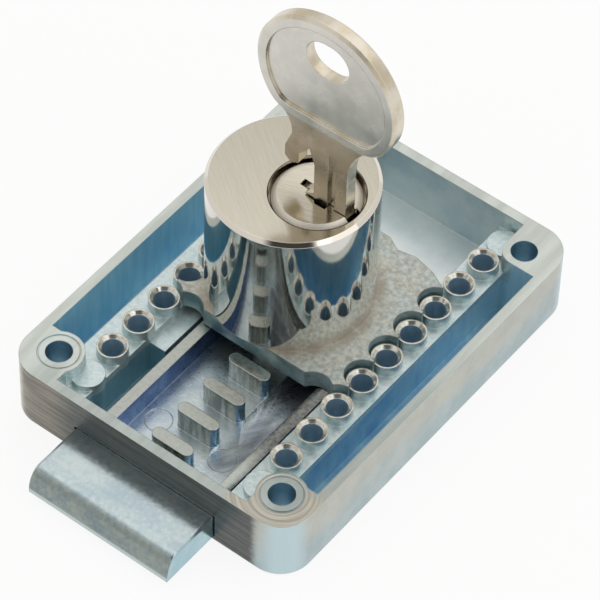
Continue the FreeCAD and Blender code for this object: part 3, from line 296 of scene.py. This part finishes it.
def passivatedZinc(c):
    # zinc die casting with blue passivation: satin metal, blue and teal in its hollows, bare and pale where
    # the rim was linished, bright where the tops of the bosses were faced
    material, tree = startMaterial("passivatedDieCastZinc")
    at = measures(tree)
    cloud = speckle(tree, c["cloud"])
    fleck = speckle(tree, c["fleck"])
    grain = speckle(tree, c["grain"])
    upright = speckle(tree, c["upright"])
    lengthways = speckle(tree, c["lengthways"])
    crossways = speckle(tree, c["crossways"])
    drift = weigh(tree, (cloud, c["driftShares"][0]), (upright, c["driftShares"][1]))

    # distances from the middle, and from the axes of the rounded corner, the nearest boss and the fixing hole
    at["across"] = addNode(tree, "Math", {0: at["x"]}, operation="ABSOLUTE")
    at["along"] = addNode(tree, "Math", {0: at["y"]}, operation="ABSOLUTE")
    outX = addNode(tree, "Math", {0: at["across"], 1: c["cornerAxis"][0]}, operation="MAXIMUM")
    outY = addNode(tree, "Math", {0: at["along"], 1: c["cornerAxis"][1]}, operation="MAXIMUM")
    at["reach"] = fromAxis(tree, outX, outY, c["cornerAxis"])
    fromFirst = addNode(tree, "Math", {0: at["y"], 1: c["rowFirst"]}, operation="SUBTRACT")
    halfPitch = c["pitch"] / 2
    fromBoss = addNode(tree, "Math", {0: fromFirst, 1: halfPitch, 2: -halfPitch}, operation="WRAP")
    at["boss"] = fromAxis(tree, at["across"], fromBoss, (c["row"], 0.0))
    at["hole"] = fromAxis(tree, at["across"], at["along"], c["fixing"])

    # hollows first, then what stands above them
    flat = zone(tree, at, c["flat"])
    colour = cover(tree, mottle(tree, upright, c["leftWallHex"]), mottle(tree, drift, c["rightWallHex"]),
                   zone(tree, at, c["rightHalf"]))
    # painted light: the walls lighten towards the rear, offsetting the shade there
    colour = cover(tree, colour, mottle(tree, upright, c["rearSidePaintedLightHex"]), zone(tree, at, c["rearSide"]))
    colour = cover(tree, colour, mottle(tree, cloud, c["troughFloorHex"]), flat)
    colour = cover(tree, colour, mottle(tree, cloud, c["pocketHex"]), zone(tree, at, c["pocket"]))
    rear = zone(tree, at, c["rear"])
    colour = cover(tree, colour, mottle(tree, cloud, c["rearWallHex"]), rear)
    colour = cover(tree, colour, mottle(tree, cloud, c["rearFloorHex"]), rear, flat)
    colour = cover(tree, colour, mottle(tree, fleck, c["railHex"], *c["railContrast"]),
                   zone(tree, at, c["rail"]))
    colour = cover(tree, colour, mottle(tree, fleck, c["bossWallHex"], *c["bossWallContrast"]),
                   zone(tree, at, c["bossWall"] + c["steep"]))
    faced = zone(tree, at, c["bossFace"])
    colour = cover(tree, colour, mottle(tree, fleck, c["bossFaceHex"]), faced)
    colour = cover(tree, colour, mottle(tree, cloud, c["bossHoleHex"]), zone(tree, at, c["bossHole"]))

    # the outer walls, with the soft streaks of the passivation bath, and the darker front with its ragged
    # end, partly its own bare brown metal and partly a painted dark reflection
    at["warmth"] = weigh(tree, (at["z"], c["warmth"][0]), (lengthways, c["warmth"][1]))
    wall = cover(tree, mottle(tree, cloud, c["outerCoolHex"]), mottle(tree, cloud, c["outerWarmHex"]),
                 zone(tree, at, c["warm"]))
    wall = cover(tree, wall, linear(c["outerCornerHex"]), zone(tree, at, c["outerCorner"]))
    at["ragged"] = weigh(tree, (fleck, c["raggedness"]), (at["x"], 1.0))
    # the front wall's darkness is partly its own bare brown metal and partly a painted dark reflection
    toneAndPaintedLight = cover(tree, mottle(tree, crossways, c["frontLeftHex"]),
                   mottle(tree, crossways, c["frontHex"], *c["frontContrast"]),
                   zone(tree, at, c["frontMiddle"]))
    toneAndPaintedLight = cover(tree, linear(c["frontCornerHex"]), toneAndPaintedLight, zone(tree, at, c["pastFrontCorner"]))
    wall = cover(tree, wall, toneAndPaintedLight, zone(tree, at, c["front"]))
    colour = cover(tree, colour, wall, zone(tree, at, c["outside"]))

    # the linished rim, greyer on its right and front
    shaded = addNode(tree, "Math", {0: zone(tree, at, c["rimRight"]), 1: zone(tree, at, c["rimFront"])},
                     operation="MAXIMUM")
    rim = cover(tree, mottle(tree, lengthways, c["rimHex"]), mottle(tree, lengthways, c["rimShadedHex"]),
                shaded)
    onRim = zone(tree, at, c["rim"])
    colour = cover(tree, colour, rim, onRim)
    colour = cover(tree, colour, mottle(tree, cloud, c["fixingHoleHex"]), zone(tree, at, c["fixingHole"]))

    # curved cutter marks round the front right hole, out to the corner
    outward = addNode(tree, "Math", {0: at["hole"], 1: c["rings"][0]}, operation="MULTIPLY")
    wander = addNode(tree, "Math", {0: at["y"], 1: c["rings"][1]}, operation="MULTIPLY")
    ringPlace = addNode(tree, "CombineXYZ", {0: outward, 1: wander})
    rings = addNode(tree, "TexNoise", {
        "Vector": ringPlace, "Scale": 1.0, "Detail": c["ringDetail"], "Roughness": 0.55})
    ringed = addNode(tree, "Math", {0: onRim, 1: zone(tree, at, c["ringed"])}, operation="MULTIPLY")
    colour = cover(tree, colour, mottle(tree, rings, c["ringHex"]), ringed)

    height = weigh(tree, (grain, c["heightShares"][0]), (fleck, c["heightShares"][1]))
    ridges = addNode(tree, "Math", {0: rings, 1: ringed}, operation="MULTIPLY")
    height = weigh(tree, (fade(tree, height, onRim, c["rimSmoothed"]), 1.0), (ridges, c["ringHeight"]))
    dull = addNode(tree, "MapRange", {0: fleck, **c["dullness"]})
    return finishMaterial(material, tree, c, colour, fade(tree, dull, faced, c["facePolished"]), height)


boltZinc = {
    # patterns, with scales per millimetre
    "cloud": {"scale": 0.25, "detail": 5, "rough": 0.6},
    "fleck": {"scale": 1.6, "detail": 5, "rough": 0.65},
    "grain": {"scale": 5.0, "detail": 3},
    "drawn": {"stretch": (1.6, 1.6, 0.15), "detail": 3, "rough": 0.6},
    "streak": {"stretch": (0.9, 0.15, 0.9), "turn": (0, 0, 0.5), "detail": 5, "rough": 0.65},
    "patchShares": (0.45, 0.55),
    # the pan and its lugs: the limits that each finish keeps to, and its colours, the darker first
    "lugSideHex": ("#8e938f", "#c3c6bf"),
    "toRight": [("right", 0.5, 0.3)],
    "panWallHex": ("#4f6da3", "#7494c4"),
    "lugEnd": [("x", 2.2, 0.3), ("x", 4.4, 0.3, "below")],
    "lugEndHex": ("#8ab8da", "#abcde2"),
    "flat": [("up", 0.8, 0.1)],
    "panHex": ("#adbcc5", "#c8d3d7"),
    "panContrast": (0.3, 0.7),
    # the pan floor darkens towards the plate: partly its passivation, partly painted shade
    "panRight": [("x", 4.6, 0.8), ("y", -23.5, 1.5)],
    "panTintAndShadeHex": ("#7d868f", "#a3abb0"),
    "top": [("z", 6.5, 0.1)],
    "topHex": ("#a3a8a3", "#b7bbb5"),
    "topContrast": (0.25, 0.75),
    # painted shade: the rim top next to the plate is painted dark
    "rearTopInShade": [("x", 9.2, 0.1), ("y", -21.0, 3.5)],
    "rearTopShadeHex": ("#5f6160", "#80827f"),
    # the tongue
    "tongue": [("y", -30.0, 0.2, "below")],
    "tongueSideHex": ("#9fbfca", "#b3ced4"),
    "tongueTop": [("up", 0.4, 0.2)],
    "tongueHex": ("#a2b3bc", "#bfcaca"),
    # painted reflection: the rounded nose is painted darker, and the lip below it paler
    "nose": [("front", 0.6, 0.25)],
    "noseReflectionHex": ("#75858a", "#969d95"),
    "aboveLip": [("z", 1.75, 0.2)],
    "lipHex": "#b9c5c4",
    # surface
    "metallic": 0.95,
    "grainShare": 0.4,
    "flatsSmoothed": 0.7,
    "dullness": {1: 0.3, 2: 0.7, 3: 0.24, 4: 0.36},
    "tonguePolished": 0.4,
    "relief": 0.028,
    "edge": 0.2,
    # painted highlight: the pale colour laid along the sharp edges stands in for the light they catch
    "paintedEdgeLight": ("#c9ccc9", 0.35),
}


def cloudyZinc(c):
    # the bolt's casting: nearly bright, blue-grey on its flats and blue on its steep sides,
    # so it mirrors the dark front wall and the plate beside it; its rounded nose carries a painted dark
    # reflection, and the rim top and pan floor next to the plate carry painted shade
    material, tree = startMaterial("mottledDieCastZinc")
    at = measures(tree)
    cloud = speckle(tree, c["cloud"])
    fleck = speckle(tree, c["fleck"])
    grain = speckle(tree, c["grain"])
    drawn = speckle(tree, c["drawn"])
    streak = speckle(tree, c["streak"])
    patch = weigh(tree, (cloud, c["patchShares"][0]), (fleck, c["patchShares"][1]))
    toRight = zone(tree, at, c["toRight"])
    colour = cover(tree, mottle(tree, drawn, c["lugSideHex"]), mottle(tree, cloud, c["panWallHex"]), toRight)
    colour = cover(tree, colour, mottle(tree, fleck, c["lugEndHex"]), toRight, zone(tree, at, c["lugEnd"]))
    flat = zone(tree, at, c["flat"])
    # darker pan floor towards the plate: partly passivation, partly painted shade
    pan = cover(tree, mottle(tree, cloud, c["panHex"], *c["panContrast"]),
                mottle(tree, streak, c["panTintAndShadeHex"]), zone(tree, at, c["panRight"]))
    colour = cover(tree, colour, pan, flat)
    top = zone(tree, at, c["top"])
    # painted shade on the rim top next to the plate
    topColour = cover(tree, mottle(tree, fleck, c["topHex"], *c["topContrast"]),
                      mottle(tree, fleck, c["rearTopShadeHex"]), zone(tree, at, c["rearTopInShade"]))
    colour = cover(tree, colour, topColour, flat, top)

    tongue = cover(tree, mottle(tree, cloud, c["tongueSideHex"]), mottle(tree, patch, c["tongueHex"]),
                   zone(tree, at, c["tongueTop"]))
    # painted dark reflection on the rounded nose, with a paler lip below it
    overNose = cover(tree, linear(c["lipHex"]), mottle(tree, patch, c["noseReflectionHex"]),
                     zone(tree, at, c["aboveLip"]))
    tongue = cover(tree, tongue, overNose, zone(tree, at, c["nose"]))
    onTongue = zone(tree, at, c["tongue"])
    colour = cover(tree, colour, tongue, onTongue)

    dull = addNode(tree, "MapRange", {0: fleck, **c["dullness"]})
    smooth = addNode(tree, "Math", {0: onTongue, 1: top}, operation="MAXIMUM")
    height = weigh(tree, (grain, c["grainShare"]), (fleck, 1.0))
    return finishMaterial(material, tree, c, colour, fade(tree, dull, onTongue, c["tonguePolished"]),
                          fade(tree, height, smooth, c["flatsSmoothed"]))


plateZinc = {
    # patterns, with scales per millimetre
    "cloud": {"scale": 0.3, "detail": 4},
    "grain": {"scale": 1.5, "detail": 6, "rough": 0.72},
    "flat": [("up", 0.8, 0.1)],
    "sideHex": ("#6b898f", "#abc0c3"),
    "skinHex": ("#989d98", "#d6dad3"),
    "tintHex": ("#b0aa9b", "#abb9bd"),
    "tintShare": 0.35,
    # a patchy brownish ring round the cylinder's foot, painted shade
    "cylinderAxis": (-2.2, 2.0),
    "foot": [("cylinder", 12.1, 0.7, "below")],
    "footShadeShare": {1: 0.35, 2: 0.6, 3: 0.2, 4: 0.8},
    "footShadeHex": "#9d9384",
    # surface
    "metallic": 0.8,
    "dullness": {1: 0.3, 2: 0.7, 3: 0.34, 4: 0.5},
    "relief": 0.12,
    "edge": 0.25,
    # painted shade: the brown laid along the sharp edges stands in for edge shading
    "paintedEdgeLight": ("#6b5f50", 0.7),
}


def roughZinc(c):
    # the carrier plate's cast skin: dull and grainy, grey with a beige cast, with painted brown shade along
    # its edges
    material, tree = startMaterial("roughDieCastZinc")
    at = measures(tree)
    cloud = speckle(tree, c["cloud"])
    grain = speckle(tree, c["grain"])
    skin = cover(tree, mottle(tree, grain, c["skinHex"]), mottle(tree, cloud, c["tintHex"]), c["tintShare"])
    at["cylinder"] = fromAxis(tree, at["x"], at["y"], c["cylinderAxis"])
    patchy = addNode(tree, "MapRange", {0: cloud, **c["footShadeShare"]}, interpolation_type="SMOOTHSTEP")
    # painted shade: brownish patches round the cylinder's foot
    skin = cover(tree, skin, linear(c["footShadeHex"]), zone(tree, at, c["foot"]), patchy)
    colour = cover(tree, mottle(tree, cloud, c["sideHex"]), skin, zone(tree, at, c["flat"]))
    dull = addNode(tree, "MapRange", {0: grain, **c["dullness"]})
    return finishMaterial(material, tree, c, colour, dull, grain)


nose = {
    # the tongue's sizes in millimetres
    "root": -29.2,
    "tip": -39.0,
    "roll": 2.1,
    "lip": 0.3,
    "foot": 1.05,
    "top": 5.0,
    "sides": (-11.0, 11.1),
    "cornerRadius": 0.45,
    "support": 0.05,
    "overlap": 0.2,
    "steps": 14,
    "cornerSteps": 7,
    # in metres and degrees
    "merge": 1e-6,
    "flatWithin": 0.5,
    "sharp": 25,
}


def makeTongueShell(c):
    # the tongue as one closed skin. Across, it is a box whose two top corners are quarter circles. Along, the
    # roll starts "roll" short of the tip: at a turn a from 0 to 90 degrees it is roll * sin(a) further out,
    # and its height over the foot is lip + (height - lip) * cos(a)
    left, right = c["sides"]
    high, radius = c["top"] - c["foot"], c["cornerRadius"]
    turn = np.linspace(0, np.pi / 2, c["cornerSteps"])
    arcX = radius * (1 - np.cos(turn))
    arcZ = high - radius * (1 - np.sin(turn))
    rise = [0.0, high - radius - c["support"]]
    flat = radius + c["support"]
    across = np.concatenate([
        [left, left], left + arcX, [left + flat, right - flat], right - arcX[::-1], [right, right]])
    tall = np.concatenate([rise, arcZ, [high, high], arcZ[::-1], rise[::-1]]) / high
    turn = np.linspace(0, np.pi / 2, c["steps"])
    start = c["tip"] + c["roll"]
    y = np.concatenate([[c["root"] + c["overlap"], start + c["support"]], start - c["roll"] * np.sin(turn)])
    share = np.concatenate([[1, 1], (c["lip"] + (high - c["lip"]) * np.cos(turn)) / high])
    size = (len(y), len(across))
    points = np.stack([
        np.broadcast_to(across, size), np.broadcast_to(y[:, None], size),
        c["foot"] + high * share[:, None] * tall], 2).reshape(-1, 3) / perMetre
    ring = np.arange(size[1])
    before = np.roll(ring, 1)
    first = size[1] * np.arange(size[0] - 1)[:, None]
    after = first + size[1]
    quads = np.stack([first + ring, first + before, after + before, after + ring], 2).reshape(-1, 4)
    ends = [ring, ring + size[1] * (size[0] - 1)]
    shell = bpy.data.meshes.new("tongueShell")
    shell.from_pydata(points.tolist(), [], quads.tolist() + [end.tolist() for end in ends])
    return shell


def makeBoltCasting(c, material):
    # the bolt, cut off at the tongue's root, with the rounded tongue that the photograph has
    work = bmesh.new()
    work.from_mesh(nodes["bolt"].data)
    bmesh.ops.remove_doubles(work, verts=work.verts, dist=c["merge"])
    bmesh.ops.dissolve_limit(
        work, angle_limit=math.radians(c["flatWithin"]), verts=work.verts, edges=work.edges)
    everything = work.verts[:] + work.edges[:] + work.faces[:]
    root = (0, c["root"] / perMetre, 0)
    cut = bmesh.ops.bisect_plane(work, geom=everything, plane_co=root, plane_no=(0, -1, 0), clear_outer=True)
    cutEdges = [item for item in cut["geom_cut"] if isinstance(item, bmesh.types.BMEdge)]
    bmesh.ops.contextual_create(work, geom=cutEdges)
    shell = makeTongueShell(c)
    work.from_mesh(shell)
    bpy.data.meshes.remove(shell)
    bmesh.ops.recalc_face_normals(work, faces=work.faces)
    mesh = bpy.data.meshes.new("boltCasting")
    work.to_mesh(mesh)
    work.free()
    mesh.polygons.foreach_set("use_smooth", [True] * len(mesh.polygons))
    mesh.set_sharp_from_angle(angle=math.radians(c["sharp"]))
    mesh.materials.append(material)
    casting = bpy.data.objects.new("boltCasting", mesh)
    bpy.context.collection.objects.link(casting)
    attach(casting, "bolt")
    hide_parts("bolt")


mottledZinc = cloudyZinc(boltZinc)
wear(["case"], passivatedZinc(castZinc))
wear(["drive_cam"], mottledZinc)
makeBoltCasting(nose, mottledZinc)
wear(["carrier_plate"], roughZinc(plateZinc))
print("castings finished")


nickel = {
    "plugAxis": (1.5, 2.0),
    # the draw lines go up the side; brush lines are drawn coarser than the real ones, so that they show
    "draw": {"stretch": (2.2, 2.2, 0.04), "detail": 3, "rough": 0.6},
    "brushStretch": (0.25, 9, 0.25),
    "brushDetail": 4,
    "brushRough": 0.7,
    "sideHex": "#d3d1cb",
    "sideRough": 0.06,
    "chamfer": [("up", 0.35, 0.15), ("z", 29.1, 0.1)],
    # painted highlight: the chamfer is painted lighter than the side
    "chamferHighlightHex": "#e2dcd2",
    "end": [("up", 0.95, 0.02), ("z", 29.1, 0.1)],
    "endRough": 0.14,
    "faceHex": ("#c6c1b3", "#cdc8bb"),
    "plug": [("axis", 5.82, 0.03, "below")],
    "plugFaceHex": ("#beb8a9", "#cbc5b8"),
    # the narrow gap round the plug is dull with grease, and a painted shadow line darkens its lip
    "gap": [("axis", 5.72, 0.04), ("axis", 6.25, 0.04, "below"), ("z", 29.15, 0.06, "below")],
    "gapHex": "#8d8474",
    # painted shadow: a thin dark ring at the gap's lip
    "lip": [("axis", 6.09, 0.02), ("axis", 6.21, 0.03, "below")],
    "lipHex": "#2a241e",
    "metallic": 1.0,
    "relief": 0.004,
}
housing = {**nickel, "name": "polishedNickelHousing", "brushTurn": 35, "edge": 0.12, "chamferRough": 0.06}
plug = {**nickel, "name": "brushedNickelPlug", "brushTurn": -20, "edge": 0.1, "chamferRough": 0.5}


def polishedNickel(c):
    # bright nickel plate over turned brass: a mirror round the side with faint upright draw lines,
    # and fine straight brush lines across the end
    material, tree = startMaterial(c["name"])
    at = measures(tree)
    draw = speckle(tree, c["draw"])
    brush = speckle(tree, {"stretch": c["brushStretch"], "turn": (0, 0, math.radians(c["brushTurn"])),
                           "detail": c["brushDetail"], "rough": c["brushRough"]})
    at["axis"] = fromAxis(tree, at["x"], at["y"], c["plugAxis"])
    onEnd = zone(tree, at, c["end"])
    onChamfer = zone(tree, at, c["chamfer"])
    # painted highlight on the chamfer
    colour = cover(tree, linear(c["sideHex"]), linear(c["chamferHighlightHex"]), onChamfer)
    face = cover(tree, mottle(tree, brush, c["faceHex"]), mottle(tree, brush, c["plugFaceHex"]),
                 zone(tree, at, c["plug"]))
    colour = cover(tree, colour, face, onEnd)
    colour = cover(tree, colour, linear(c["gapHex"]), zone(tree, at, c["gap"]))
    # painted shadow line at the lip of the gap
    colour = cover(tree, colour, linear(c["lipHex"]), onEnd, zone(tree, at, c["lip"]))
    rough = addNode(tree, "Mix", {0: onChamfer, 2: c["sideRough"], 3: c["chamferRough"]}, data_type="FLOAT")
    rough = addNode(tree, "Mix", {0: onEnd, 2: rough, 3: c["endRough"]}, data_type="FLOAT")
    drawn = fade(tree, draw, onChamfer, 1.0)
    height = weigh(tree, (brush, onEnd), (drawn, 1.0))
    return finishMaterial(material, tree, c, colour, rough, height)


keyNickel = {
    "cloud": {"scale": 0.35, "detail": 4},
    "fine": {"stretch": (2.0, 2.0, 0.6), "detail": 3},
    "flat": [("side", 0.85, 0.08)],
    "bow": [("z", 42.3, 0.15)],
    "bowHex": ("#cac7bf", "#d6d3cb"),
    "shankHex": ("#b4aa98", "#c2b8a9"),
    "edgeHex": ("#cbc0aa", "#dbd4c6"),
    "metallic": 1.0,
    "dullness": {1: 0.3, 2: 0.7, 3: 0.2, 4: 0.3},
    "relief": 0.003,
    "edge": 0.15,
}


def satinNickel(c):
    # the key's plate over stamped brass: satin on its faces, browner on the shank, brighter on its edges
    material, tree = startMaterial("satinNickelKey")
    at = measures(tree)
    at["side"] = addNode(tree, "Math", {0: at["front"]}, operation="ABSOLUTE")
    cloud = speckle(tree, c["cloud"])
    face = cover(tree, mottle(tree, cloud, c["shankHex"]), mottle(tree, cloud, c["bowHex"]),
                 zone(tree, at, c["bow"]))
    colour = cover(tree, mottle(tree, cloud, c["edgeHex"]), face, zone(tree, at, c["flat"]))
    dull = addNode(tree, "MapRange", {0: cloud, **c["dullness"]})
    return finishMaterial(material, tree, c, colour, dull, speckle(tree, c["fine"]))


hiddenMetal = {
    "fine": {"stretch": (14, 2, 2), "detail": 2},
    "contrast": (0.3, 0.7),
    "shade": 0.8,
    "metallic": 1.0,
    "relief": 0.01,
}
turnedBrass = {**hiddenMetal, "name": "turnedBrass", "hex": "#d8b25c", "rough": 0.22}
springSteel = {**hiddenMetal, "name": "drawnSpringSteel", "hex": "#a8aaab", "rough": 0.25}
platedSteel = {**hiddenMetal, "name": "zincPlatedSteel", "hex": "#b8bcc0", "rough": 0.3}


def drawnMetal(c):
    # small hidden pieces: turned or drawn metal with fine round lines, a little darker in them
    material, tree = startMaterial(c["name"])
    fine = speckle(tree, c["fine"])
    bright = linear(c["hex"])
    dark = [channel * c["shade"] for channel in bright[:3]] + [1]
    low, high = c["contrast"]
    share = addNode(tree, "MapRange", {0: fine, 1: low, 2: high}, interpolation_type="SMOOTHSTEP")
    return finishMaterial(material, tree, c, cover(tree, bright, dark, share), c["rough"], fine)


wear([n for n in nodes if n.startswith(("key_pin", "driver_pin"))], drawnMetal(turnedBrass))
wear([n for n in nodes if n.startswith("pin_spring")], drawnMetal(springSteel))
wear(["cam_screw", "carrier_screws"], drawnMetal(platedSteel))
wear(["cylinder_housing", "chamber_cover"], polishedNickel(housing))
wear(["cylinder_plug"], polishedNickel(plug))
wear(["key"], satinNickel(keyNickel))
print("nickel and small pieces finished")


studio = {
    "floorSize": 3.0,
    "floorHex": "#f4f4f4",
    "glowShare": 0.88,
    # an even pale tent with a dark opening on one side: its edges are cosines of the angle from its middle
    "skyHex": "#fbf9f5",
    "skyStrength": 0.85,
    "opening": (0.38425, -0.51501, 0.76624),
    "openingEdge": (0.87, 0.95),
    "openingStrength": 0.06,
    "lampAim": (0, 0, 0.01),
    "lamps": [
        # name, place, size, watts
        ("topSoftbox", (0.10, 0.05, 0.75), 1.3, 2.2),
        ("rightSoftbox", (0.70, 0.05, 0.35), 0.6, 0.5),
    ],
}
white = (1, 1, 1, 1)


def makeFloor(c):
    # one square that takes the shadows, and looks white to the camera and in the metal's reflections
    half = c["floorSize"] / 2
    mesh = bpy.data.meshes.new("studioFloor")
    corners = [(-half, -half, 0), (half, -half, 0), (half, half, 0), (-half, half, 0)]
    mesh.from_pydata(corners, [], [(0, 1, 2, 3)])
    floor = bpy.data.objects.new("studioFloor", mesh)
    bpy.context.collection.objects.link(floor)
    material, tree = startMaterial("paleStudioFloor")
    matt = addNode(tree, "BsdfDiffuse", {"Color": linear(c["floorHex"])})
    glow = addNode(tree, "Emission", {"Color": white, "Strength": 1.0})
    path = addNode(tree, "LightPath", out=None).outputs
    seen = addNode(tree, "Math", {0: path["Is Camera Ray"], 1: path["Is Glossy Ray"]}, operation="MAXIMUM")
    share = addNode(tree, "Math", {0: seen, 1: c["glowShare"]}, operation="MULTIPLY")
    mixed = addNode(tree, "MixShader", {0: share, 1: matt, 2: glow})
    addNode(tree, "OutputMaterial", {0: mixed}, None)
    mesh.materials.append(material)


def makeWorld(c):
    # the tent lights the object; the camera itself sees white
    world = bpy.data.worlds.new("studioWorld")
    bpy.context.scene.world = world
    world.use_nodes = True
    tree = world.node_tree
    tree.nodes.clear()
    towards = addNode(tree, "TexCoord", out="Generated")
    nearOpening = addNode(tree, "VectorMath", {0: towards, 1: c["opening"]}, "Value", operation="DOT_PRODUCT")
    begins, ends = c["openingEdge"]
    strength = addNode(tree, "MapRange", {
        0: nearOpening, 1: begins, 2: ends, 3: c["skyStrength"], 4: c["openingStrength"]},
        interpolation_type="SMOOTHSTEP")
    light = addNode(tree, "Background", {"Color": linear(c["skyHex"]), "Strength": strength})
    seen = addNode(tree, "Background", {"Color": white, "Strength": 1.0})
    cameraRay = addNode(tree, "LightPath", out="Is Camera Ray")
    mixed = addNode(tree, "MixShader", {0: cameraRay, 1: light, 2: seen})
    addNode(tree, "OutputWorld", {0: mixed}, None)


def makeLamps(c):
    for name, place, size, watts in c["lamps"]:
        data = bpy.data.lights.new(name, "AREA")
        data.size = size
        data.energy = watts
        lamp = bpy.data.objects.new(name, data)
        bpy.context.collection.objects.link(lamp)
        turn = (Vector(c["lampAim"]) - Vector(place)).to_track_quat("-Z", "Y")
        lamp.matrix_world = Matrix.Translation(Vector(place)) @ turn.to_matrix().to_4x4()


makeFloor(studio)
makeWorld(studio)
makeLamps(studio)
bpy.context.scene.view_settings.view_transform = "Standard"
print("studio lit")
